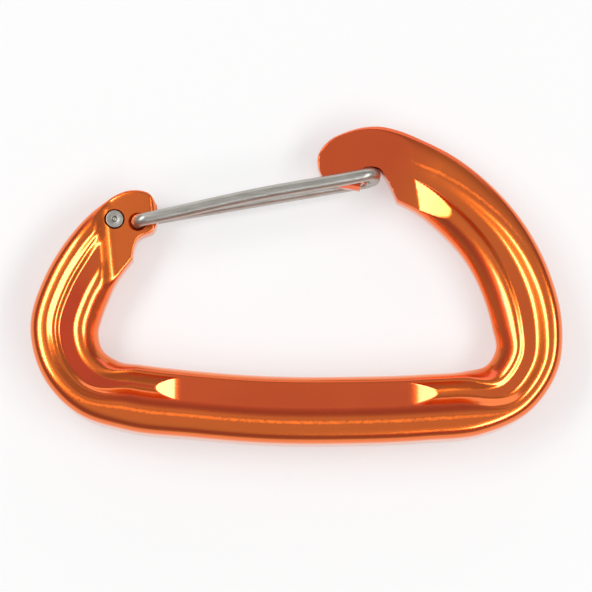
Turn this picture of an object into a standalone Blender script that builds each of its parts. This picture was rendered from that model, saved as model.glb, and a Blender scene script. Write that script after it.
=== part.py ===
"""A forged aluminium carabiner with a sprung wire gate, built in millimetres and scaled to metres.

It lies flat: X runs along the spine, Y from the spine to the gate, Z through the thickness.
"""

import math

import bmesh
import bpy
import numpy as np

MM = 0.001

# Body: overall sizes, the strip's width at the spine and thicknesses across both faces, in mm.
BODY_LENGTH = 92.3
BODY_HEIGHT = 55.95
STRIP_WIDTH = 11.8
BODY_THICKNESS = 9.8
RAIL_THICKNESS = 8.0
WEB_THICKNESS = 7.4
PAD_THICKNESS = 8.8
PAD_WEB_THICKNESS = 6.4
PLATE_THICKNESS = 4.6

# Body outline: matching points of the outer and inner edge, from the hinge lug round to the tooth, in mm.
# Places in X and Y are drawn for the length and height above, and stretch with them. The inner edge
# keeps the strip's width from the outer edge.
OUTER_EDGE = [
    (-24.5, 14.3), (-25.6, 16.0), (-29.1, 16.7), (-31.6, 15.85), (-33.65, 14.4),
    (-35.6, 12.8), (-39.6, 8.3), (-43.6, 1.7), (-46.2, -7.6), (-43.9, -16.2),
    (-38.0, -22.5), (-29.5, -25.45), (-18.0, -26.75), (-5.0, -27.75), (9.0, -27.85),
    (22.0, -27.3), (32.0, -26.2), (40.5, -22.05), (45.3, -14.9), (46.1, -7.0),
    (44.3, 1.3), (40.1, 10.1), (34.2, 17.4), (27.1, 23.1), (22.3, 25.6),
    (17.65, 27.5), (15.0, 28.1), (12.3, 28.05), (8.9, 27.2), (5.5, 25.4),
    (3.75, 22.85), (4.1, 19.8), (6.3, 17.55),
]
INNER_EDGE = [
    (-24.15, 11.6), (-24.9, 9.6), (-27.6, 8.1), (-28.4, 6.2), (-28.55, 4.5),
    (-31.5, 0.3), (-32.75, -2.5), (-33.9, -5.6), (-34.5, -8.2), (-33.6, -11.5),
    (-31.0, -13.3), (-27.0, -13.95), (-17.5, -15.05), (-5.0, -15.95), (9.0, -16.05),
    (22.0, -15.65), (29.3, -15.05), (33.1, -14.0), (34.7, -11.2), (34.1, -7.2),
    (32.5, -1.6), (29.4, 4.5), (25.0, 9.5), (20.6, 13.1), (17.55, 14.7),
    (15.15, 19.6), (14.6, 20.3), (13.2, 20.7), (11.9, 20.5), (11.35, 19.8),
    (11.3, 18.8), (11.3, 17.9), (11.15, 16.9),
]
INNER_CORNERS = (4, 24)
NOTCH_CEILING = 27
STATION_STEP = 1.6

# Sections: distances from the outer edge on a strip of the drawn width, in mm. In order: ends of the
# outer round, the outer crest and its shoulder, start and end of the web, start and end of the inner rail.
LEFT_ACROSS = (3.1, 3.15, 3.2, 5.4, 7.5, 8.6, 8.9)
SPINE_ACROSS = (2.2, 4.1, 6.1, 8.0, 8.1, 10.0, 10.2)
RIGHT_ACROSS = (2.0, 2.2, 2.25, 5.1, 6.7, 7.8, 8.1)
NOSE_ACROSS = (2.8, 5.0, 5.05, 6.2, 6.8, 8.2, 8.4)
PLATE_ACROSS = (2.6, 3.2, 3.25, 5.2, 7.2, 8.2, 10.6)

# The rounds are superellipses: the outer one's power, the inner one's in each kind of section, and the
# share of the edge's half height that stands upright below each round.
OUTER_POWER = 2.1
LEFT_POWER = 1.5
SPINE_POWER = 1.8
RIGHT_POWER = 1.3
NOSE_POWER = 2.0
PLATE_POWER = 2.6
OUTER_FLANK = 0.5
INNER_FLANK = 0.25

# Half heights of the outer crest, its shoulder, the web and the inner rail in each kind of section.
FLANGE_HEIGHTS = (BODY_THICKNESS / 2, BODY_THICKNESS / 2, WEB_THICKNESS / 2, RAIL_THICKNESS / 2)
SPINE_HEIGHTS = (BODY_THICKNESS / 2, PAD_THICKNESS / 2, PAD_WEB_THICKNESS / 2, PAD_THICKNESS / 2)
NOSE_HEIGHTS = (PLATE_THICKNESS / 2, PLATE_THICKNESS / 2, PLATE_THICKNESS / 2, RAIL_THICKNESS / 2)
PLATE_HEIGHTS = (PLATE_THICKNESS / 2 + 0.8,) * 4
TIP_HEIGHTS = (PLATE_THICKNESS / 2 + 0.1,) * 2 + PLATE_HEIGHTS[2:]
LEFT_SECTION = LEFT_ACROSS + FLANGE_HEIGHTS + (LEFT_POWER,)
SPINE_SECTION = SPINE_ACROSS + SPINE_HEIGHTS + (SPINE_POWER,)
RIGHT_SECTION = RIGHT_ACROSS + FLANGE_HEIGHTS + (RIGHT_POWER,)
NOSE_SECTION = NOSE_ACROSS + NOSE_HEIGHTS + (NOSE_POWER,)
TIP_SECTION = PLATE_ACROSS + TIP_HEIGHTS + (PLATE_POWER,)
PLATE_SECTION = PLATE_ACROSS + PLATE_HEIGHTS + (PLATE_POWER,)
SECTION_KEYS = [
    (0.0, PLATE_SECTION), (4.0, PLATE_SECTION), (5.5, LEFT_SECTION), (9.6, LEFT_SECTION),
    (11.0, SPINE_SECTION), (15.6, SPINE_SECTION), (17.0, RIGHT_SECTION), (19.5, RIGHT_SECTION),
    (24.0, NOSE_SECTION), (25.0, TIP_SECTION), (32.0, PLATE_SECTION),
]

# Milled flats and the raised marking pad, in mm. A flat's line has its kept side on the left going up.
HINGE_FLAT_LINE = ((-32.1, 0.4), (-33.4, 13.0))
HINGE_FLAT_SLOPE = 1.0
HINGE_FLAT_LAST_STATION = 8.0
NOSE_FLAT_LINE = ((19.9, 23.4), (21.2, 14.4))
NOSE_FLAT_SLOPE = 0.31
NOSE_FLAT_FIRST_STATION = 19.0
PAD_LEFT = -20.65
PAD_RIGHT = 20.4
PAD_LEFT_RAMP = 3.7
PAD_RIGHT_RAMP = 4.5
PAD_STATIONS = (11.0, 15.6)
END_TAPER = (0.55, 0.85)

# Gate: one spring wire, in mm.
WIRE_DIAMETER = 2.3
LEG_CLEARANCE = 0.3
FRONT_BOW = 0.35
REAR_BOW = 0.0
FRONT_PIVOT = (-27.7, 11.0)
REAR_PIVOT = (-31.75, 11.5)
LOOP_X = 13.6
LOOP_CLEARANCE = 0.2
LOOP_BEND_RADIUS = 2.2
PIN_BEND_RADIUS = 1.6
HEAD_DIAMETER = 3.0
HEAD_DEPTH = 0.5
SPLIT_GAP = 0.3
FRONT_HOLE_CLEARANCE = 0.12
REAR_HOLE_CLEARANCE = 0.25

ROUND_STEPS = 4
WALL_STEPS = 3
BEND_STEPS = 6
BOW_STEPS = 8
HOLE_SIDES = 32

DRAWN = np.ptp(np.array(OUTER_EDGE), axis=0)
STRETCH = np.array([BODY_LENGTH, BODY_HEIGHT]) / DRAWN
DRAWN_WIDTH = np.min(INNER_EDGE, axis=0)[1] - np.min(OUTER_EDGE, axis=0)[1]


def clear_scene():
    for obj in list(bpy.data.objects):
        bpy.data.objects.remove(obj, do_unlink=True)


def material(name, colour, roughness, metallic):
    made = bpy.data.materials.new(name)
    made.use_nodes = True
    shader = made.node_tree.nodes["Principled BSDF"]
    shader.inputs["Base Color"].default_value = (*colour, 1.0)
    shader.inputs["Roughness"].default_value = roughness
    shader.inputs["Metallic"].default_value = metallic
    return made


def tangents(points, corners):
    """The direction of a smooth curve at each point: (arriving, leaving), which differ only at a corner."""
    steps = np.diff(points, axis=0)
    lengths = np.linalg.norm(steps, axis=1)
    slopes = steps / lengths[:, None]
    found = []
    for index in range(len(points)):
        before = slopes[max(index - 1, 0)]
        after = slopes[min(index, len(slopes) - 1)]
        if index in corners or index in (0, len(points) - 1):
            found.append((before, after))
            continue
        share = lengths[index - 1] / (lengths[index - 1] + lengths[index])
        middle = before * (1 - share) + after * share
        found.append((middle, middle))
    return found


def smooth_point(points, directions, span, share):
    """A point on the Hermite curve between two neighbouring points of an edge."""
    start = points[span]
    end = points[span + 1]
    length = np.linalg.norm(end - start)
    leaving = directions[span][1] * length
    arriving = directions[span + 1][0] * length
    square = share * share
    cube = square * share
    return (
        start * (2 * cube - 3 * square + 1)
        + leaving * (cube - 2 * square + share)
        + end * (3 * square - 2 * cube)
        + arriving * (cube - square)
    )


def edges():
    """The outer and inner edge's points at the sizes asked for."""
    outer = np.array(OUTER_EDGE) * STRETCH
    inner = np.array(INNER_EDGE) * STRETCH
    return outer, outer + (inner - outer) * STRIP_WIDTH / DRAWN_WIDTH


def stations():
    """(station number, outer point, inner point) along the body, close enough together to look round."""
    outer, inner = edges()
    outer_directions = tangents(outer, ())
    inner_directions = tangents(inner, INNER_CORNERS)
    found = []
    for span in range(len(outer) - 1):
        longest = max(np.linalg.norm(outer[span + 1] - outer[span]), np.linalg.norm(inner[span + 1] - inner[span]))
        count = max(2, math.ceil(longest / STATION_STEP))
        for step in range(count):
            share = step / count
            found.append((
                span + share,
                smooth_point(outer, outer_directions, span, share),
                smooth_point(inner, inner_directions, span, share),
            ))
    found.append((len(outer) - 1.0, outer[-1], inner[-1]))
    return found


def section_at(station):
    """The section's sizes at a station, eased from one key to the next."""
    for (first, start), (last, end) in zip(SECTION_KEYS, SECTION_KEYS[1:]):
        if station <= last:
            share = (station - first) / (last - first)
            ease = share * share * (3 - 2 * share)
            return [a + (b - a) * ease for a, b in zip(start, end)]
    return list(SECTION_KEYS[-1][1])


def slope(start, end):
    """Points after the start of an eased slope between two (distance, height) points."""
    found = []
    for step in range(1, WALL_STEPS + 1):
        share = step / WALL_STEPS
        ease = share * share * (3 - 2 * share)
        found.append((start[0] + (end[0] - start[0]) * share, start[1] + (end[1] - start[1]) * ease))
    return found


def quarter_round(power):
    """Points of a quarter superellipse of unit size, from its side to its top."""
    turns = [math.pi / 2 * step / ROUND_STEPS for step in range(ROUND_STEPS)]
    rise = [math.sin(turn) ** (2 / power) for turn in turns] + [1.0]
    return list(zip(rise[::-1], rise))


def forged_profile(section):
    """(distance, height) of the forged upper face across the strip, before the flats are milled."""
    outer_round, crest_end, shoulder_end, web_start, web_end, rail_start, rail_end = section[:7]
    crest, shoulder, web, rail, inner_power = section[7:]
    inner_round = DRAWN_WIDTH - rail_end
    outer = [(0.0, 0.0)]
    for across, up in quarter_round(OUTER_POWER):
        outer.append((outer_round * (1 - across), crest * (OUTER_FLANK + (1 - OUTER_FLANK) * up)))
    inner = [(DRAWN_WIDTH, 0.0)]
    for across, up in quarter_round(inner_power):
        inner.append((DRAWN_WIDTH - inner_round * (1 - across), rail * (INNER_FLANK + (1 - INNER_FLANK) * up)))
    inner.reverse()
    shelf = [(crest_end, crest), (shoulder_end, shoulder)]
    wall = slope((shoulder_end, shoulder), (web_start, web))
    rise = [(web_end, web)] + slope((web_end, web), (rail_start, rail))
    return outer + shelf + wall + rise + inner


def side_of(line, point):
    """Signed distance of a point from a line, positive to the left of its direction."""
    start = np.array(line[0]) * STRETCH
    along = np.array(line[1]) * STRETCH - start
    along /= np.linalg.norm(along)
    away = point - start
    return along[0] * away[1] - along[1] * away[0]


def pad_height(x):
    """The height of the marking pad, which ramps down into the groove at both ends."""
    drop = (PAD_THICKNESS - PAD_WEB_THICKNESS) / 2
    left = max(0.0, PAD_LEFT * STRETCH[0] - x) / PAD_LEFT_RAMP
    right = max(0.0, x - PAD_RIGHT * STRETCH[0]) / PAD_RIGHT_RAMP
    return PAD_THICKNESS / 2 - drop * (left + right)


def face_height(station, section, distance, height, point):
    """The height of the upper face at a point, with the pad filled in and the flats milled off."""
    plate = PLATE_THICKNESS / 2
    if PAD_STATIONS[0] <= station <= PAD_STATIONS[1] and section[2] <= distance <= section[6]:
        height = max(height, pad_height(point[0]))
    if station <= HINGE_FLAT_LAST_STATION:
        height = min(height, plate + HINGE_FLAT_SLOPE * max(0.0, side_of(HINGE_FLAT_LINE, point)))
    if station >= NOSE_FLAT_FIRST_STATION:
        height = min(height, plate + NOSE_FLAT_SLOPE * max(0.0, side_of(NOSE_FLAT_LINE, point)))
    return height


def body_rings():
    """Closed rings of points round the body's strip, one for each station."""
    rows = stations()
    rings = []
    for index, (station, outer, inner) in enumerate(rows):
        section = section_at(station)
        from_end = min(index, len(rows) - 1 - index)
        taper = END_TAPER[from_end] if from_end < len(END_TAPER) else 1.0
        upper = []
        for distance, height in forged_profile(section):
            point = outer + (inner - outer) * distance / DRAWN_WIDTH
            upper.append((*point, taper * face_height(station, section, distance, height, point)))
        lower = [(x, y, -z) for x, y, z in reversed(upper[1:-1])]
        rings.append(upper + lower)
    return rings


def link(name, mesh, parent, paint):
    obj = bpy.data.objects.new(name, mesh)
    bpy.context.scene.collection.objects.link(obj)
    obj.parent = parent
    mesh.materials.append(paint)
    return obj


def ring_mesh(name, rings):
    """A closed mesh through rings of equal count, with a face over each end."""
    shape = bmesh.new()
    loops = [[shape.verts.new([value * MM for value in point]) for point in ring] for ring in rings]
    count = len(loops[0])
    for first, second in zip(loops, loops[1:]):
        for index in range(count):
            after = (index + 1) % count
            shape.faces.new((first[index], first[after], second[after], second[index]))
    shape.faces.new(reversed(loops[0]))
    shape.faces.new(loops[-1])
    bmesh.ops.recalc_face_normals(shape, faces=shape.faces)
    mesh = bpy.data.meshes.new(name)
    shape.to_mesh(mesh)
    shape.free()
    return mesh


def circle(centre, radius, height):
    turns = [2 * math.pi * side / HOLE_SIDES for side in range(HOLE_SIDES)]
    return [(centre[0] + radius * math.cos(t), centre[1] + radius * math.sin(t), height) for t in turns]


def cut_hole(body, name, centre, clearance, parent, paint):
    """Cuts a cross hole for the wire's end through the hinge lug, countersunk on both faces."""
    radius = WIRE_DIAMETER / 2 + clearance
    mouth = HEAD_DIAMETER / 2 + clearance
    face = PLATE_THICKNESS / 2
    throat = face - HEAD_DEPTH
    above = face + BODY_THICKNESS
    levels = [(-above, mouth), (-face, mouth), (-throat, radius), (throat, radius), (face, mouth), (above, mouth)]
    cutter = link(name, ring_mesh(name, [circle(centre, r, z) for z, r in levels]), parent, paint)
    cutter.hide_render = True
    cutter.display_type = "WIRE"
    cut = body.modifiers.new(name, "BOOLEAN")
    cut.operation = "DIFFERENCE"
    cut.object = cutter


def bend(corner, before, after, radius):
    """Points of an arc that rounds the corner between two unit directions at right angles."""
    centre = corner - before * radius + after * radius
    turns = [math.pi / 2 * step / BEND_STEPS for step in range(BEND_STEPS + 1)]
    return [centre - after * radius * math.cos(t) + before * radius * math.sin(t) for t in turns]


def leg_route(pivot, loop, side, bow):
    """The wire's centre line from the middle of the loop to its head, on the face that side names."""
    leg_height = PLATE_THICKNESS / 2 + LEG_CLEARANCE + WIRE_DIAMETER / 2
    up = np.array([0.0, 0.0, side])
    start = np.array([*loop, 0.0])
    end = np.array([*pivot, 0.0])
    along = (end - start) / np.linalg.norm(end - start)
    aside = np.array([along[1], -along[0], 0.0])
    at_loop = bend(start + up * leg_height, up, along, LOOP_BEND_RADIUS)
    at_pin = bend(end + up * leg_height, along, -up, PIN_BEND_RADIUS)
    middle = []
    for step in range(1, BOW_STEPS):
        share = step / BOW_STEPS
        straight = at_loop[-1] * (1 - share) + at_pin[0] * share
        middle.append(straight + aside * bow * math.sin(math.pi * share) ** 2)
    face = PLATE_THICKNESS / 2
    head = [end - up * (face - HEAD_DEPTH), end - up * face]
    return [start + up * SPLIT_GAP / 2] + at_loop + middle + at_pin + head


def wire_leg(name, pivot, loop, side, bow, origin, parent, paint):
    """One half of the gate's wire: a round bar with a countersunk head, its origin on its joint axis."""
    curve = bpy.data.curves.new(name, "CURVE")
    curve.dimensions = "3D"
    curve.bevel_depth = WIRE_DIAMETER / 2 * MM
    curve.bevel_resolution = 4
    curve.use_fill_caps = True
    route = leg_route(pivot, loop, side, bow)
    spline = curve.splines.new("POLY")
    spline.points.add(len(route) - 1)
    for point, place in zip(spline.points, route):
        x, y, z = place - np.array([*origin, 0.0])
        point.co = (x * MM, y * MM, z * MM, 1.0)
    spline.points[-1].radius = HEAD_DIAMETER / WIRE_DIAMETER
    leg = link(name, curve, parent, paint)
    leg.location = (origin[0] * MM, origin[1] * MM, 0.0)
    return leg


def main():
    clear_scene()
    orange = material("orange_anodised", (0.62, 0.16, 0.02), 0.3, 1.0)
    orange_cut = material("orange_cut", (0.55, 0.12, 0.02), 0.35, 1.0)
    steel_front = material("wire_steel_front", (0.62, 0.61, 0.59), 0.28, 1.0)
    steel_rear = material("wire_steel_rear", (0.58, 0.57, 0.55), 0.28, 1.0)

    rings = body_rings()
    reach = np.array([point for ring in rings for point in ring])
    middle = (reach.min(axis=0) + reach.max(axis=0)) / 2
    carabiner = bpy.data.objects.new("carabiner", None)
    bpy.context.scene.collection.objects.link(carabiner)
    carabiner.location = (-middle[0] * MM, -middle[1] * MM, BODY_THICKNESS / 2 * MM)

    front_pivot = np.array(FRONT_PIVOT) * STRETCH
    rear_pivot = np.array(REAR_PIVOT) * STRETCH
    body = link("body", ring_mesh("body", rings), carabiner, orange)
    cut_hole(body, "front_hole", front_pivot, FRONT_HOLE_CLEARANCE, carabiner, orange_cut)
    cut_hole(body, "rear_hole", rear_pivot, REAR_HOLE_CLEARANCE, carabiner, orange_cut)

    ceiling = edges()[1][NOTCH_CEILING][1]
    loop = (LOOP_X * STRETCH[0], ceiling - LOOP_CLEARANCE - WIRE_DIAMETER / 2)
    wire_leg("gate_front_leg", front_pivot, loop, 1.0, FRONT_BOW, front_pivot, carabiner, steel_front)
    wire_leg("gate_rear_leg", rear_pivot, loop, -1.0, REAR_BOW, loop, carabiner, steel_rear)


main()
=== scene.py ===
"""The looks of the wire gate carabiner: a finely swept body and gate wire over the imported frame."""

import math

import bpy
import numpy as np
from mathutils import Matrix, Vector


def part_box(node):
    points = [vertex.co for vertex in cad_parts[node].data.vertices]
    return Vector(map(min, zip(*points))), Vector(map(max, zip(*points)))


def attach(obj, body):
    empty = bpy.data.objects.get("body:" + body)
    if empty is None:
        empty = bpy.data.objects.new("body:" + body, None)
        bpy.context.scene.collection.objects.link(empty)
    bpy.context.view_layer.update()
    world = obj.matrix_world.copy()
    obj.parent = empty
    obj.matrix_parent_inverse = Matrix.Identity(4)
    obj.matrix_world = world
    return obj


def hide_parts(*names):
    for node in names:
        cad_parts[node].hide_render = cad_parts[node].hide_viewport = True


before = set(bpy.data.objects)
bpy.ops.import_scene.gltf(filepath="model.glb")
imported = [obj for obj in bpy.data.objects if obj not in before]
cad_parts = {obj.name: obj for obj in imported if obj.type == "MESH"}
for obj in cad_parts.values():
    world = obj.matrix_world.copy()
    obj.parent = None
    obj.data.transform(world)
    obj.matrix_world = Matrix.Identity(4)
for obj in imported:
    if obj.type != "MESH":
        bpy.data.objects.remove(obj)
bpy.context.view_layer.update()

MM = 0.001

# Camera, from the photograph's framing, in degrees and m.
CAMERA_ELEVATION = 82.0
CAMERA_DISTANCE = 0.5
CAMERA_TARGET = (-0.00006, -0.00187, 0.0049)
FRAME_WIDTH = 0.1034
CLIP_START = 0.01

# Studio lights: name, azimuth and width of the two side boxes, then what they share, and the distance
# and radiance of the glint lamp beyond each. The back box has its azimuth, elevation, distance, width,
# height and radiance. Angles in degrees, lengths in m.
SIDE_BOXES = (("left", -110.0, 0.56), ("right", 65.0, 0.68))
BOX_ELEVATION = 52.0
BOX_DISTANCE = 0.6
BOX_HEIGHT = 0.2
BOX_RADIANCE = 3.8
GLINT_DISTANCE = 0.62
GLINT_RADIANCE = 5.6
BACK_BOX = (180.0, 16.0, 0.8, 1.0, 0.3, 1.0)

# The room: brightness of its walls and ceiling, and the heights (0 to 1) between which one turns into
# the other.
WALL_SHADE = 0.3
CEILING_SHADE = 0.46
WALL_TOP = 0.7
CEILING_START = 0.96

# The floor: half its width in m, its grey, and how much of white it gives off where it is seen.
FLOOR_HALF = 2.0
FLOOR_GREY = 0.6
FLOOR_ROUGHNESS = 0.7
FLOOR_SPECULAR = 0.1
FLOOR_LIFT = 0.42

# Anodised finish: the two colours between which each kind of surface varies, the clear skin over it,
# its roughness and what the rubbed line adds to that, and the scales of its noise.
FACE_COLOURS = ((0.92, 0.162, 0.012), (0.96, 0.18, 0.016))
# The dark pair colours the groove's web and paints shade on the edge rounds and the spine's shoulder.
DARK_AND_SHADE_COLOURS = ((0.75, 0.063, 0.007), (0.81, 0.073, 0.009))
MILLED_COLOURS = ((0.87, 0.108, 0.012), (0.92, 0.12, 0.016))
GRAZING_TINT = (1.0, 0.8, 0.55, 1.0)
COAT_ROUGHNESS = 0.1
COAT_IOR = 1.5
FACE_ROUGHNESS = (0.23, 0.25)
RUBBED_ROUGHNESS = (0.04, 0.36)
DYE_CLOUD_SCALE = 90.0
GRAIN_SCALE = 3800.0
SPECKLE_SCALE = 2000.0
GRAIN_BUMP = 0.02

# Drawn wire finish.
STEEL_COLOURS = ((0.46, 0.44, 0.4), (0.54, 0.52, 0.48))
STEEL_ROUGHNESS = (0.3, 0.42)
STEEL_CLOUD_SCALE = 400.0
STREAK_SCALE = 2600.0
STREAK_STRETCH = (0.03, 1.0, 1.0)
STREAK_BUMP = 0.12

# Both finishes: the values that noise mostly lies between, its detail, and the depth of a bump in m.
NOISE_RANGE = (0.3, 0.7)
COARSE_DETAIL = 3.0
FINE_DETAIL = 2.0
BUMP_DISTANCE = 0.0001

# The sockets of a mix node that take and give colours.
MIX_FIRST = 6
MIX_SECOND = 7
MIX_RESULT = 2

# Body outline: matching points of the outer and inner edge, from the hinge lug round to the tooth, in
# mm. A station is a place along the body, counted in these points.
OUTER_EDGE = [
    (-24.5, 14.3), (-25.6, 16.0), (-29.1, 16.7), (-31.6, 15.85), (-33.65, 14.4),
    (-35.6, 12.8), (-39.6, 8.3), (-43.6, 1.7), (-46.2, -7.6), (-43.9, -16.2),
    (-38.0, -22.5), (-29.5, -25.45), (-18.0, -26.75), (-5.0, -27.75), (9.0, -27.85),
    (22.0, -27.3), (32.0, -26.2), (40.5, -22.05), (45.3, -14.9), (46.1, -7.0),
    (44.3, 1.3), (40.1, 10.1), (34.2, 17.4), (27.1, 23.1), (22.3, 25.6),
    (17.65, 27.5), (15.0, 28.1), (12.3, 28.05), (8.9, 27.2), (5.5, 25.4),
    (3.75, 22.85), (4.1, 19.8), (6.3, 17.55),
]
INNER_EDGE = [
    (-24.15, 11.6), (-24.9, 9.6), (-27.6, 8.1), (-28.4, 6.2), (-28.55, 4.5),
    (-31.5, 0.3), (-32.75, -2.5), (-33.9, -5.6), (-34.5, -8.2), (-33.6, -11.5),
    (-31.0, -13.3), (-27.0, -13.95), (-17.5, -15.05), (-5.0, -15.95), (9.0, -16.05),
    (22.0, -15.65), (29.3, -15.05), (33.1, -14.0), (34.7, -11.2), (34.1, -7.2),
    (32.5, -1.6), (29.4, 4.5), (25.0, 9.5), (20.6, 13.1), (17.55, 14.7),
    (15.15, 19.6), (14.6, 20.3), (13.2, 20.7), (11.9, 20.5), (11.35, 19.8),
    (11.3, 18.8), (11.3, 17.9), (11.15, 16.9),
]
INNER_CORNERS = (4, 24)
NOTCH_CEILING = 27
STATION_STEP = 0.22
FEWEST_STEPS = 3

# Sections, in mm on a strip of the drawn width: ends of the outer round, the outer crest and its
# shoulder, start and end of the web and of the inner rail, then the half heights of crest, shoulder,
# web and rail, how far the groove's walls are a bowl, and the power of the inner round.
DRAWN_WIDTH = 11.8
SECTION_EDGES = 7
HINGE_SECTION = (2.6, 2.7, 4.3, 5.4, 7.5, 8.6, 8.9, 4.9, 4.35, 3.7, 3.87, 0.0, 1.5)
LEFT_SECTION = (2.6, 2.7, 4.3, 5.4, 7.5, 8.6, 8.9, 4.9, 4.35, 3.8, 3.97, 0.0, 1.5)
SPINE_SECTION = (2.2, 4.1, 6.1, 8.0, 8.1, 10.0, 10.2, 4.9, 4.4, 3.2, 4.4, 1.0, 1.8)
RIGHT_SECTION = (2.0, 2.2, 2.25, 5.1, 6.7, 7.8, 8.1, 4.9, 4.9, 3.6, 3.9, 0.0, 1.3)
NOSE_SECTION = (2.8, 5.0, 5.05, 6.2, 6.8, 8.2, 8.4, 2.32, 2.32, 2.3, 4.1, 0.0, 2.0)
TIP_SECTION = (2.6, 3.2, 3.25, 5.2, 7.2, 8.2, 10.6, 2.4, 2.4, 3.1, 3.1, 0.0, 2.6)
PLATE_SECTION = (2.6, 3.2, 3.25, 5.2, 7.2, 8.2, 10.6, 3.1, 3.1, 3.1, 3.1, 0.0, 2.6)
SECTION_KEYS = [
    (0.0, PLATE_SECTION), (3.4, PLATE_SECTION), (6.5, HINGE_SECTION), (8.0, LEFT_SECTION),
    (9.6, LEFT_SECTION), (11.0, SPINE_SECTION), (15.6, SPINE_SECTION), (17.0, RIGHT_SECTION),
    (19.5, RIGHT_SECTION), (24.0, NOSE_SECTION), (25.0, TIP_SECTION), (32.0, PLATE_SECTION),
]
ROUND_POWER = 2.1
OUTER_FLANK = 0.5
INNER_FLANK = 0.25
BOWL_POWER = 1.8
ROUND_POINTS = 22
WALL_POINTS = 18
FLAT_POINTS = 12
BODY_SHARP_ANGLE = 35.0

# Guards against zero: the least angle left out at the end of a round, and the least step across.
LEAST_TURN = 1e-9
LEAST_STEP = 1e-6

# Milled flats and the raised marking pad, in mm.
PLATE_HALF = 2.3
PAD_HALF = 4.4
WEB_HALF = 3.2
HINGE_FLAT_LINE = ((-32.1, 0.4), (-33.4, 13.0))
HINGE_FLAT_SLOPE = 1.0
HINGE_FLAT_LAST_STATION = 8.0
NOSE_FLAT_LINE = ((19.9, 23.4), (21.2, 14.4))
NOSE_FLAT_SLOPE = 0.31
NOSE_FLAT_FIRST_STATION = 19.0
HINGE_BLEND = 0.7
HINGE_FOOT = 1.2
NOSE_BLEND = 0.06
PAD_LEFT = -20.65
PAD_RIGHT = 20.0
PAD_LEFT_RAMP = 3.7
PAD_RIGHT_RAMP = 4.5
PAD_STATIONS = (11.0, 15.6)
PAD_BLEND = 0.05
PAD_FOOT = 1.0

# Rounding of the strip's two ends: its length in mm, and the share of it at which it stops.
END_ROUND = 1.2
END_LIMIT = 0.92

# Darker, redder colour, from 0 to 1: in the groove's web, and as painted shade on the edge rounds where
# they tilt by STEEP_FROM to STEEP_TO degrees and on the spine's shoulder. Fades are in mm, or in degrees
# for the rounds.
GROOVE_FADE = 0.35
GROOVE_STATIONS = (5.0, 7.0, 11.2, 12.0, 15.6, 16.6, 19.5, 22.0)
GROOVE_DARKENING = (0.0, 1.0, 1.0, 0.0, 0.0, 0.3, 0.3, 0.0)
STEEP_FROM = 22.0
STEEP_TO = 43.0
STEEP_FADE = 8.0
ROUND_SHADE = 0.85
SHOULDER_FADE = 1.0
SHOULDER_STATIONS = (9.4, 10.8, 15.8, 17.0)
SHOULDER_SHADES = (0.0, 0.85, 0.85, 0.0)

# The stations over which the arm's finish turns into that of the milled nose.
MILLED_STATIONS = (23.0, 25.0)

# A line of rubbed finish along the outer crest: its distance before the crest's end, its half width in
# mm, and how strong it is from station to station.
RUB_INSET = 0.6
RUB_WIDTH = 0.22
RUB_STATIONS = (8.5, 10.0, 15.6, 17.5, 20.5, 21.5, 23.6, 24.2)
RUB_STRENGTHS = (0.0, 1.0, 1.0, 0.0, 0.0, 1.0, 1.0, 0.0)

# Gate wire, in mm.
WIRE_RADIUS = 1.15
LEG_HEIGHT = 3.75
FRONT_BOW = 0.35
REAR_BOW = 0.0
LEG_STEPS = 24
FRONT_PIVOT = (-27.7, 11.0)
REAR_PIVOT = (-31.75, 11.5)
LOOP_X = 13.6
LOOP_CLEARANCE = 0.2
LOOP_BEND_RADIUS = 2.2
PIN_BEND_RADIUS = 1.6
HEAD_RADIUS = 1.5
HEAD_DEPTH = 0.5
WIRE_SIDES = 40
BEND_STEPS = 24
WIRE_SHARP_ANGLE = 40.0

# Peened head: heights over the milled flat, with how the rim's radius differs from the head's, and
# then with the radius of the pit punched in its middle, in mm.
HEAD_RIM = [(-0.02, -0.02), (0.03, 0.0), (0.12, -0.01), (0.15, -0.05), (0.16, -0.1), (0.16, -0.16)]
HEAD_PIT = [(0.16, 0.6), (0.13, 0.53), (-0.25, 0.42), (-0.34, 0.3), (-0.37, 0.1)]

# Cross holes, in mm: clearances round the wire, the broken edge of the mouth, and how far the cutter
# keeps the mouth's width over the flat and stands out of it.
FRONT_HOLE_CLEARANCE = 0.12
REAR_HOLE_CLEARANCE = 0.25
HOLE_SIDES = 96
HOLE_LIP = 0.03
LIP_RISE = 0.01
CUTTER_REACH = 3.0


def ease(share):
    """A share from 0 to 1 that starts and ends level."""
    return share * share * (3 - 2 * share)


def fade(value):
    """A value eased between 0 and 1, and held there outside them."""
    return ease(np.clip(value, 0.0, 1.0))


def soft_min(first, second, blend):
    """The lower of two heights, with the crease between them rounded over the blend height."""
    share = np.clip(0.5 + 0.5 * (second - first) / blend, 0.0, 1.0)
    return second * (1 - share) + first * share - blend * share * (1 - share)


def soft_max(first, second, blend):
    """The higher of two heights, rounded in the same way."""
    return -soft_min(-first, -second, blend)


def tangents(points, corners):
    """(arriving, leaving) directions of a smooth curve at each point, which differ only at a corner."""
    steps = np.diff(points, axis=0)
    lengths = np.linalg.norm(steps, axis=1)
    slopes = steps / lengths[:, None]
    found = []
    for index in range(len(points)):
        before = slopes[max(index - 1, 0)]
        after = slopes[min(index, len(slopes) - 1)]
        if index in corners or index in (0, len(points) - 1):
            found.append((before, after))
            continue
        share = lengths[index - 1] / (lengths[index - 1] + lengths[index])
        middle = before * (1 - share) + after * share
        found.append((middle, middle))
    return found


def smooth_points(points, directions, span, shares):
    """Points on the Hermite curve between two neighbouring points of an edge."""
    start = points[span]
    end = points[span + 1]
    length = np.linalg.norm(end - start)
    share = shares[:, None]
    square = share * share
    cube = square * share
    return (
        start * (2 * cube - 3 * square + 1)
        + directions[span][1] * length * (cube - 2 * square + share)
        + end * (3 * square - 2 * cube)
        + directions[span + 1][0] * length * (cube - square)
    )


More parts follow.
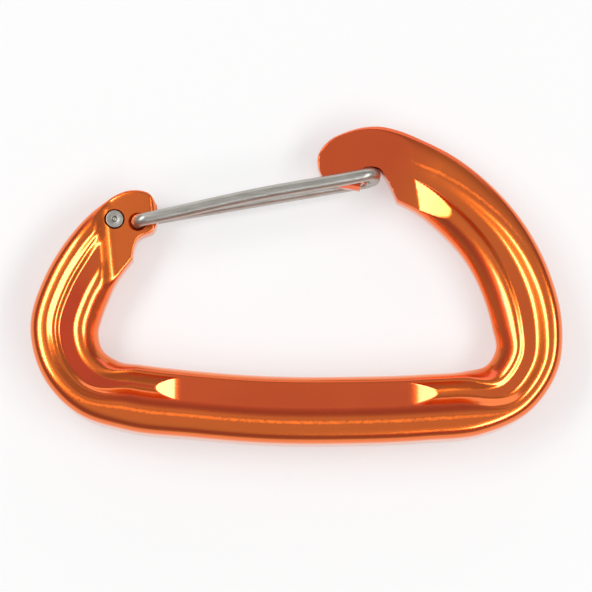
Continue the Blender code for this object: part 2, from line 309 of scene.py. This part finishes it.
def stations():
    """Station numbers, outer points and inner points along the body, close together."""
    outer = np.array(OUTER_EDGE)
    inner = np.array(INNER_EDGE)
    outer_directions = tangents(outer, ())
    inner_directions = tangents(inner, INNER_CORNERS)
    numbers, outers, inners = [], [], []
    for span in range(len(outer) - 1):
        lengths = [np.linalg.norm(edge[span + 1] - edge[span]) for edge in (outer, inner)]
        count = max(FEWEST_STEPS, math.ceil(max(lengths) / STATION_STEP))
        shares = np.arange(count) / count
        numbers.append(span + shares)
        outers.append(smooth_points(outer, outer_directions, span, shares))
        inners.append(smooth_points(inner, inner_directions, span, shares))
    numbers.append([len(outer) - 1.0])
    outers.append(outer[-1:])
    inners.append(inner[-1:])
    return np.concatenate(numbers), np.concatenate(outers), np.concatenate(inners)


def sections_at(numbers):
    """One row of section sizes for each station, eased from one key to the next."""
    keys = np.array([key for key, section in SECTION_KEYS])
    sizes = np.array([section for key, section in SECTION_KEYS])
    after = np.clip(np.searchsorted(keys, numbers), 1, len(keys) - 1)
    share = (numbers - keys[after - 1]) / (keys[after] - keys[after - 1])
    return sizes[after - 1] + (sizes[after] - sizes[after - 1]) * ease(share)[:, None]


def edges_of(sections):
    """The section's distances across the strip, each as a column with one row for each station."""
    return sections.T[:SECTION_EDGES, :, None]


def forged_profile(sections):
    """(distances, heights) of the forged upper face across the strip, one row for each station."""
    outer_round, crest_end, shoulder_end, web_start, web_end, rail_start, rail_end = edges_of(sections)
    crest, shoulder, web, rail, bowl, inner_power = sections.T[SECTION_EDGES:, :, None]
    quarter = np.linspace(0, math.pi / 2, ROUND_POINTS).clip(0, math.pi / 2 - LEAST_TURN)[None, :]
    wall = np.linspace(0, 1, WALL_POINTS)[None, 1:]
    flat = np.linspace(0, 1, FLAT_POINTS)[None, 1:]
    inner_round = DRAWN_WIDTH - rail_end
    low = np.cos(quarter) ** (2 / ROUND_POWER)
    high = np.sin(quarter) ** (2 / ROUND_POWER)
    inner_low = np.cos(quarter) ** (2 / inner_power)
    inner_high = np.sin(quarter) ** (2 / inner_power)
    climb = ease(wall) * (1 - bowl) + wall ** BOWL_POWER * bowl
    drop = climb[:, -2::-1]
    drop = np.concatenate([drop, np.zeros((len(drop), 1))], axis=1)
    distances = [
        outer_round * (1 - low),
        outer_round + (crest_end - outer_round) * flat,
        crest_end + (shoulder_end - crest_end) * wall,
        shoulder_end + (web_start - shoulder_end) * wall,
        web_start + (web_end - web_start) * flat,
        web_end + (rail_start - web_end) * wall,
        rail_start + (rail_end - rail_start) * flat,
        DRAWN_WIDTH - inner_round * (1 - inner_high[:, 1:]),
    ]
    heights = [
        crest * (OUTER_FLANK + (1 - OUTER_FLANK) * high),
        crest + 0 * flat,
        crest + (shoulder - crest) * ease(wall),
        web + (shoulder - web) * drop,
        web + 0 * flat,
        web + (rail - web) * climb,
        rail + 0 * flat,
        rail * (INNER_FLANK + (1 - INNER_FLANK) * inner_low[:, 1:]),
    ]
    return np.concatenate(distances, axis=1), np.concatenate(heights, axis=1)


def side_of(line, places):
    """Signed distance of places from a line, positive to the left of its direction."""
    start = np.array(line[0])
    along = np.array(line[1]) - start
    along = along / np.linalg.norm(along)
    away = places - start
    return along[0] * away[..., 1] - along[1] * away[..., 0]


def pad_heights(x):
    """The height of the marking pad, which ramps down into the groove at both ends."""
    left = soft_max(0.0, PAD_LEFT - x, PAD_FOOT) / PAD_LEFT_RAMP
    right = soft_max(0.0, x - PAD_RIGHT, PAD_FOOT) / PAD_RIGHT_RAMP
    return PAD_HALF - (PAD_HALF - WEB_HALF) * (left + right)


def darkening_and_shade(station, distances, heights, sections):
    """How much darker and redder each point of the upper face is coloured, from 0 to 1: the groove's web,
    and painted shade on the edge rounds and the spine's shoulder.
    """
    outer_round, crest_end, shoulder_end, web_start, web_end, _, rail_end = edges_of(sections)
    # The groove's web is coloured darker and redder.
    after_wall = fade((distances - web_start) / GROOVE_FADE + 1)
    before_rise = fade((web_end - distances) / GROOVE_FADE + 1)
    groove = after_wall * before_rise * np.interp(station, GROOVE_STATIONS, GROOVE_DARKENING)

    # Painted shade: the edge rounds are made darker and redder where they tilt steeply.
    slopes = np.gradient(heights, axis=1) / np.maximum(np.gradient(distances, axis=1), LEAST_STEP)
    tilts = np.degrees(np.arctan(np.abs(slopes)))
    steep = fade((tilts - STEEP_FROM) / STEEP_FADE) * fade((STEEP_TO - tilts) / STEEP_FADE)
    on_round = (distances < outer_round) | (distances > rail_end)
    rounds = np.where(on_round, ROUND_SHADE * steep, 0.0)

    # Painted shade: the spine's shoulder below the crest is made darker and redder.
    down = np.where(distances <= shoulder_end, fade((distances - crest_end) / SHOULDER_FADE), 0.0)
    shoulder = down * np.interp(station, SHOULDER_STATIONS, SHOULDER_SHADES)
    return np.maximum(np.maximum(groove, rounds), shoulder)


def rubbed_strengths(station, distances, sections):
    """How rubbed the finish is along the line on the outer crest, from 0 to 1."""
    _, crest_end, *_ = edges_of(sections)
    off_line = (distances - crest_end + RUB_INSET) / RUB_WIDTH
    return np.exp(-off_line * off_line) * np.interp(station, RUB_STATIONS, RUB_STRENGTHS)


def end_rounding(outer, inner):
    """What a station's heights are multiplied by, to round the strip's two ends."""
    middle = (outer + inner) / 2
    travelled = np.concatenate([[0.0], np.cumsum(np.linalg.norm(np.diff(middle, axis=0), axis=1))])
    from_end = np.minimum(travelled, travelled[-1] - travelled)
    inward = np.clip(1 - from_end / END_ROUND, 0.0, END_LIMIT)
    return np.sqrt(1 - inward * inward)[:, None]


def body_surface():
    """The upper face as a grid of points, one row for each station, and the marks its paint reads."""
    numbers, outer, inner = stations()
    sections = sections_at(numbers)
    distances, heights = forged_profile(sections)
    shares = distances[:, :, None] / DRAWN_WIDTH
    places = outer[:, None, :] + (inner - outer)[:, None, :] * shares
    station = numbers[:, None]

    _, _, shoulder_end, _, _, _, rail_end = edges_of(sections)
    on_pad = (station >= PAD_STATIONS[0]) & (station <= PAD_STATIONS[1])
    on_pad = on_pad & (distances >= shoulder_end) & (distances <= rail_end)
    pad = pad_heights(places[:, :, 0])
    heights = np.where(on_pad, soft_max(heights, pad, PAD_BLEND), heights)

    hinge = PLATE_HALF + HINGE_FLAT_SLOPE * soft_max(0.0, side_of(HINGE_FLAT_LINE, places), HINGE_FOOT)
    nose = PLATE_HALF + NOSE_FLAT_SLOPE * np.maximum(0.0, side_of(NOSE_FLAT_LINE, places))
    heights = np.where(station <= HINGE_FLAT_LAST_STATION, soft_min(heights, hinge, HINGE_BLEND), heights)
    heights = np.where(station >= NOSE_FLAT_FIRST_STATION, soft_min(heights, nose, NOSE_BLEND), heights)
    heights[:, [0, -1]] = 0.0

    pad_level = np.clip((pad - WEB_HALF) / (PAD_HALF - WEB_HALF), 0.0, 1.0)
    nose_level = np.interp(station, MILLED_STATIONS, (0.0, 1.0))
    # The groove mark carries the web's darker colour and the painted shade on the edge rounds and the
    # spine's shoulder.
    marks = {
        "groove": darkening_and_shade(station, distances, heights, sections),
        "rubbed": rubbed_strengths(station, distances, sections),
        "milled": np.where(on_pad, pad_level, nose_level),
    }
    heights = heights * end_rounding(outer, inner)
    return np.concatenate([places, heights[:, :, None]], axis=2), marks


def new_piece(name, points, faces, paint):
    """A smooth shaded object made from points in m."""
    mesh = bpy.data.meshes.new(name)
    mesh.from_pydata(points.tolist(), [], faces)
    mesh.validate()
    mesh.polygons.foreach_set("use_smooth", [True] * len(mesh.polygons))
    mesh.materials.append(paint)
    piece = bpy.data.objects.new(name, mesh)
    bpy.context.scene.collection.objects.link(piece)
    return piece


def tube_faces(rings, sides):
    """Faces of a tube of rings with equal counts, with one face over each end."""
    faces = []
    for ring in range(rings - 1):
        for side in range(sides):
            after = (side + 1) % sides
            low = ring * sides
            high = low + sides
            faces.append((low + side, low + after, high + after, high + side))
    faces.append(tuple(reversed(range(sides))))
    faces.append(tuple(range((rings - 1) * sides, rings * sides)))
    return faces


def outline_shift(grid):
    """The move that puts the outline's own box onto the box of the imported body, in mm."""
    low, high = (np.array(corner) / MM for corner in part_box("body"))
    flat = grid[:, :, :2].reshape(-1, 2)
    shift = (low + high)[:2] / 2 - (flat.min(axis=0) + flat.max(axis=0)) / 2
    return np.array([*shift, (low[2] + high[2]) / 2])


def forged_body(grid, marks, shift, paint):
    """The body as one closed mesh, whose lower face and marks mirror the upper ones."""
    lower = grid[:, -2:0:-1] * np.array([1.0, 1.0, -1.0])
    rings = np.concatenate([grid, lower], axis=1)
    count, sides = rings.shape[:2]
    points = (rings.reshape(-1, 3) + shift) * MM
    body = new_piece("forged_body", points, tube_faces(count, sides), paint)
    for name, values in marks.items():
        layer = body.data.attributes.new(name, "FLOAT", "POINT")
        layer.data.foreach_set("value", np.concatenate([values, values[:, -2:0:-1]], axis=1).ravel())
    return body


def drill(body, name, centre, clearance, shift, paint):
    """Cuts a countersunk cross hole through the hinge lug."""
    radius = WIRE_RADIUS + clearance
    mouth = HEAD_RADIUS + clearance
    levels = [
        (PLATE_HALF + CUTTER_REACH, mouth + HOLE_LIP),
        (PLATE_HALF + LIP_RISE, mouth + HOLE_LIP),
        (PLATE_HALF - HOLE_LIP, mouth),
        (PLATE_HALF - HEAD_DEPTH, radius),
    ]
    levels = levels + [(-height, size) for height, size in reversed(levels)]
    turns = np.linspace(0, 2 * math.pi, HOLE_SIDES, endpoint=False)
    rings = []
    for height, size in levels:
        ring = np.stack([size * np.cos(turns), size * np.sin(turns), np.full(HOLE_SIDES, height)], axis=1)
        rings.append(ring + np.array([*centre, 0.0]))
    points = (np.concatenate(rings) + shift) * MM
    faces = [tuple(reversed(face)) for face in tube_faces(len(levels), HOLE_SIDES)]
    cutter = new_piece(name, points, faces, paint)
    cut = body.modifiers.new(name, "BOOLEAN")
    cut.operation = "DIFFERENCE"
    cut.object = cutter
    with bpy.context.temp_override(object=body, active_object=body):
        bpy.ops.object.modifier_apply(modifier=cut.name)
    bpy.data.objects.remove(cutter, do_unlink=True)


def bend(corner, before, after, radius):
    """Points of an arc that rounds the corner between two unit directions at right angles."""
    centre = corner - before * radius + after * radius
    turns = np.linspace(0, math.pi / 2, BEND_STEPS)
    return [centre - after * radius * math.cos(t) + before * radius * math.sin(t) for t in turns]


def leg_route(pivot, loop, side, bow):
    """The wire's centre line and radius from the middle of the loop to its peened head."""
    up = np.array([0.0, 0.0, side])
    start = np.array([*loop, 0.0])
    end = np.array([*pivot, 0.0])
    along = (end - start) / np.linalg.norm(end - start)
    aside = np.array([along[1], -along[0], 0.0])
    at_loop = bend(start + up * LEG_HEIGHT, up, along, LOOP_BEND_RADIUS)
    at_pin = bend(end + up * LEG_HEIGHT, along, -up, PIN_BEND_RADIUS)
    middle = []
    for share in np.linspace(0, 1, LEG_STEPS)[1:-1]:
        straight = at_loop[-1] * (1 - share) + at_pin[0] * share
        middle.append(straight + aside * bow * math.sin(math.pi * share) ** 2)
    route = [start] + at_loop + middle + at_pin
    radii = [WIRE_RADIUS] * len(route)
    head = [(-HEAD_DEPTH, WIRE_RADIUS)]
    head += [(height, HEAD_RADIUS + change) for height, change in HEAD_RIM]
    head += HEAD_PIT
    route += [end - up * (PLATE_HALF + height) for height, radius in head]
    radii += [radius for height, radius in head]
    return np.array(route), np.array(radii)


def gate_leg(name, pivot, loop, side, bow, shift, paint):
    """One half of the bent wire, swept as a tube along its centre line.

    The head's rings keep the direction of the wire before them.
    """
    route, radii = leg_route(pivot, loop, side, bow)
    steps = np.diff(route, axis=0)
    across = np.array([0.0, 1.0, 0.0])
    turns = np.linspace(0, 2 * math.pi, WIRE_SIDES, endpoint=False)
    rings = []
    for index, (place, radius) in enumerate(zip(route, radii)):
        before = steps[max(index - 1, 0)]
        after = steps[min(index, len(steps) - 1)]
        if radius == WIRE_RADIUS:
            tangent = before / np.linalg.norm(before) + after / np.linalg.norm(after)
            tangent = tangent / np.linalg.norm(tangent)
        across = across - tangent * (across @ tangent)
        across = across / np.linalg.norm(across)
        third = np.cross(tangent, across)
        rings.append(place + radius * (np.cos(turns)[:, None] * across + np.sin(turns)[:, None] * third))
    points = (np.concatenate(rings) + shift) * MM
    return new_piece(name, points, tube_faces(len(rings), WIRE_SIDES), paint)


def shader_of(name):
    """A new material with its nodes, links and surface shader."""
    paint = bpy.data.materials.new(name)
    paint.use_nodes = True
    return paint, paint.node_tree.nodes, paint.node_tree.links, paint.node_tree.nodes["Principled BSDF"]


def noise(nodes, links, scale, detail, stretch=(1.0, 1.0, 1.0), turn=0.0):
    """A noise texture in object space, stretched and turned about Z as asked."""
    place = nodes.new("ShaderNodeTexCoord")
    mapping = nodes.new("ShaderNodeMapping")
    mapping.inputs["Scale"].default_value = stretch
    mapping.inputs["Rotation"].default_value = (0.0, 0.0, turn)
    texture = nodes.new("ShaderNodeTexNoise")
    texture.inputs["Scale"].default_value = scale
    texture.inputs["Detail"].default_value = detail
    links.new(place.outputs["Object"], mapping.inputs["Vector"])
    links.new(mapping.outputs["Vector"], texture.inputs["Vector"])
    return texture.outputs["Fac"]


def ramp(nodes, links, value, colours):
    """Spreads a noise value between two colours."""
    made = nodes.new("ShaderNodeValToRGB")
    for element, position, colour in zip(made.color_ramp.elements, NOISE_RANGE, colours):
        element.position = position
        element.color = (*colour, 1.0)
    links.new(value, made.inputs["Fac"])
    return made.outputs["Color"]


def spread(nodes, links, value, ends):
    """Spreads a noise value between two numbers."""
    made = nodes.new("ShaderNodeMapRange")
    made.inputs["From Min"].default_value, made.inputs["From Max"].default_value = NOISE_RANGE
    made.inputs["To Min"].default_value, made.inputs["To Max"].default_value = ends
    links.new(value, made.inputs["Value"])
    return made.outputs["Result"]


def mark(nodes, name):
    """The value that the mesh carries under this name."""
    reader = nodes.new("ShaderNodeAttribute")
    reader.attribute_name = name
    return reader.outputs["Fac"]


def blended(nodes, links, share, first, second):
    """A colour that goes from the first to the second as the share goes from 0 to 1."""
    blend = nodes.new("ShaderNodeMix")
    blend.data_type = "RGBA"
    links.new(share, blend.inputs["Factor"])
    links.new(first, blend.inputs[MIX_FIRST])
    links.new(second, blend.inputs[MIX_SECOND])
    return blend.outputs[MIX_RESULT]


def bumped(nodes, links, shader, height, strength):
    """Gives the shader a fine relief from a noise value."""
    bump = nodes.new("ShaderNodeBump")
    bump.inputs["Strength"].default_value = strength
    bump.inputs["Distance"].default_value = BUMP_DISTANCE
    links.new(height, bump.inputs["Height"])
    links.new(bump.outputs["Normal"], shader.inputs["Normal"])


def orange_anodised():
    """Bright dyed anodising over a tumbled forging: a clear skin over fine grain.

    The body's marks darken the groove's web, paint shade on the edge rounds and the spine's shoulder,
    make the milled flats redder and the rubbed line rougher.
    """
    paint, nodes, links, shader = shader_of("orange_anodised")
    shader.inputs["Metallic"].default_value = 1.0
    shader.inputs["Specular Tint"].default_value = GRAZING_TINT
    shader.inputs["Coat Weight"].default_value = 1.0
    shader.inputs["Coat Roughness"].default_value = COAT_ROUGHNESS
    shader.inputs["Coat IOR"].default_value = COAT_IOR
    cloud = noise(nodes, links, DYE_CLOUD_SCALE, COARSE_DETAIL)
    grain = noise(nodes, links, GRAIN_SCALE, FINE_DETAIL)
    face = ramp(nodes, links, cloud, FACE_COLOURS)
    dark_and_shade = ramp(nodes, links, cloud, DARK_AND_SHADE_COLOURS)
    milled = ramp(nodes, links, cloud, MILLED_COLOURS)
    # The groove mark darkens the web and paints shade on the edge rounds and the spine's shoulder.
    dyed = blended(nodes, links, mark(nodes, "groove"), face, dark_and_shade)
    colour = blended(nodes, links, mark(nodes, "milled"), dyed, milled)
    links.new(colour, shader.inputs["Base Color"])
    speckle = noise(nodes, links, SPECKLE_SCALE, FINE_DETAIL)
    rough = nodes.new("ShaderNodeMath")
    rough.operation = "MULTIPLY_ADD"
    links.new(mark(nodes, "rubbed"), rough.inputs[0])
    links.new(spread(nodes, links, speckle, RUBBED_ROUGHNESS), rough.inputs[1])
    links.new(spread(nodes, links, grain, FACE_ROUGHNESS), rough.inputs[2])
    links.new(rough.outputs["Value"], shader.inputs["Roughness"])
    bumped(nodes, links, shader, grain, GRAIN_BUMP)
    return paint


def gate_steel(name, turn):
    """Drawn stainless wire: fine streaks along the leg."""
    paint, nodes, links, shader = shader_of(name)
    shader.inputs["Metallic"].default_value = 1.0
    streak = noise(nodes, links, STREAK_SCALE, COARSE_DETAIL, STREAK_STRETCH, turn)
    cloud = noise(nodes, links, STEEL_CLOUD_SCALE, COARSE_DETAIL)
    links.new(ramp(nodes, links, cloud, STEEL_COLOURS), shader.inputs["Base Color"])
    links.new(spread(nodes, links, streak, STEEL_ROUGHNESS), shader.inputs["Roughness"])
    bumped(nodes, links, shader, streak, STREAK_BUMP)
    return paint


def floor_white():
    """A plain pale table that gives off some white where the camera or a reflection sees it."""
    paint, nodes, links, shader = shader_of("floor_white")
    path = nodes.new("ShaderNodeLightPath")
    seen = path.outputs["Is Camera Ray"]
    for kind in ("Is Glossy Ray", "Is Transmission Ray"):
        either = nodes.new("ShaderNodeMath")
        either.operation = "MAXIMUM"
        links.new(seen, either.inputs[0])
        links.new(path.outputs[kind], either.inputs[1])
        seen = either.outputs["Value"]
    lift = nodes.new("ShaderNodeMath")
    lift.operation = "MULTIPLY"
    lift.inputs[1].default_value = FLOOR_LIFT
    links.new(seen, lift.inputs[0])
    links.new(lift.outputs["Value"], shader.inputs["Emission Strength"])
    shader.inputs["Emission Color"].default_value = (1.0, 1.0, 1.0, 1.0)
    shader.inputs["Base Color"].default_value = (FLOOR_GREY, FLOOR_GREY, FLOOR_GREY, 1.0)
    shader.inputs["Roughness"].default_value = FLOOR_ROUGHNESS
    shader.inputs["Specular IOR Level"].default_value = FLOOR_SPECULAR
    return paint


def lay_floor(paint):
    """A wide flat floor under the part."""
    corners = FLOOR_HALF * np.array([(-1, -1, 0), (1, -1, 0), (1, 1, 0), (-1, 1, 0)])
    floor = new_piece("floor", corners, [(0, 1, 2, 3)], paint)


def soft_box(name, azimuth, elevation, distance, width, height, radiance):
    """A rectangular studio light aimed at the object, whose surface has the given radiance."""
    lamp = bpy.data.lights.new(name, "AREA")
    lamp.shape = "RECTANGLE"
    lamp.size = width
    lamp.size_y = height
    lamp.energy = radiance * math.pi * width * height
    stand = bpy.data.objects.new(name, lamp)
    bpy.context.scene.collection.objects.link(stand)
    turn = math.radians(azimuth)
    rise = math.radians(elevation)
    level = distance * math.cos(rise)
    stand.location = (level * math.sin(turn), -level * math.cos(turn), distance * math.sin(rise))
    stand.rotation_euler = (math.pi / 2 - rise, 0.0, turn)
    return stand


def glint_only(stand, bodies):
    """Keeps a light to reflections in the given pieces, before any diffuse bounce."""
    stand.visible_diffuse = False
    stand.light_linking.receiver_collection = bodies
    stand.data.use_nodes = True
    nodes = stand.data.node_tree.nodes
    links = stand.data.node_tree.links
    path = nodes.new("ShaderNodeLightPath")
    direct = nodes.new("ShaderNodeMath")
    direct.operation = "LESS_THAN"
    direct.inputs[1].default_value = 1.0
    links.new(path.outputs["Diffuse Depth"], direct.inputs[0])
    links.new(direct.outputs["Value"], nodes["Emission"].inputs["Strength"])


def studio_world():
    """Dim walls with a paler ceiling straight above."""
    world = bpy.data.worlds.new("studio")
    bpy.context.scene.world = world
    world.use_nodes = True
    nodes = world.node_tree.nodes
    links = world.node_tree.links
    place = nodes.new("ShaderNodeTexCoord")
    split = nodes.new("ShaderNodeSeparateXYZ")
    shade = nodes.new("ShaderNodeValToRGB")
    wall, ceiling = shade.color_ramp.elements
    wall.position = WALL_TOP
    wall.color = (WALL_SHADE, WALL_SHADE, WALL_SHADE, 1.0)
    ceiling.position = CEILING_START
    ceiling.color = (CEILING_SHADE, CEILING_SHADE, CEILING_SHADE, 1.0)
    links.new(place.outputs["Generated"], split.inputs["Vector"])
    links.new(split.outputs["Z"], shade.inputs["Fac"])
    links.new(shade.outputs["Color"], nodes["Background"].inputs["Color"])


def light_body(body):
    """Soft boxes at both sides and behind, with a glint lamp for the body just beyond each side box."""
    bright = bpy.data.collections.new("bright_metal")
    bright.objects.link(body)
    soft_box("back_box", *BACK_BOX)
    for label, azimuth, width in SIDE_BOXES:
        size = (width, BOX_HEIGHT)
        soft_box(f"{label}_box", azimuth, BOX_ELEVATION, BOX_DISTANCE, *size, BOX_RADIANCE)
        glint = soft_box(f"{label}_glint", azimuth, BOX_ELEVATION, GLINT_DISTANCE, *size, GLINT_RADIANCE)
        glint_only(glint, bright)


def place_camera():
    """Looks down at the part, so that the frame is as wide as in the photograph."""
    lens = bpy.data.cameras.new("camera")
    lens.lens = lens.sensor_width * CAMERA_DISTANCE / FRAME_WIDTH
    lens.clip_start = CLIP_START
    camera = bpy.data.objects.new("camera", lens)
    bpy.context.scene.collection.objects.link(camera)
    rise = math.radians(CAMERA_ELEVATION)
    x, y, z = CAMERA_TARGET
    camera.location = (x, y - CAMERA_DISTANCE * math.cos(rise), z + CAMERA_DISTANCE * math.sin(rise))
    camera.rotation_euler = (math.pi / 2 - rise, 0.0, 0.0)
    bpy.context.scene.camera = camera


def main():
    """Builds the stage, the body and the two halves of the gate wire."""
    bpy.context.scene.view_settings.view_transform = "Standard"
    place_camera()
    studio_world()
    lay_floor(floor_white())

    orange = orange_anodised()
    grid, marks = body_surface()
    shift = outline_shift(grid)
    body = forged_body(grid, marks, shift, orange)
    drill(body, "front_hole", FRONT_PIVOT, FRONT_HOLE_CLEARANCE, shift, orange)
    drill(body, "rear_hole", REAR_PIVOT, REAR_HOLE_CLEARANCE, shift, orange)
    body.data.set_sharp_from_angle(angle=math.radians(BODY_SHARP_ANGLE))
    light_body(body)
    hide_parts("body")
    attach(body, "frame")

    loop = (LOOP_X, INNER_EDGE[NOTCH_CEILING][1] - LOOP_CLEARANCE - WIRE_RADIUS)
    legs = [("front", FRONT_PIVOT, 1.0, FRONT_BOW), ("rear", REAR_PIVOT, -1.0, REAR_BOW)]
    for label, pivot, side, bow in legs:
        turn = -math.atan2(loop[1] - pivot[1], loop[0] - pivot[0])
        steel = gate_steel(f"gate_steel_{label}", turn)
        leg = gate_leg(f"gate_wire_{label}", pivot, loop, side, bow, shift, steel)
        leg.data.set_sharp_from_angle(angle=math.radians(WIRE_SHARP_ANGLE))
        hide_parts(f"gate_{label}_leg")
        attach(leg, f"gate_{label}")


main()
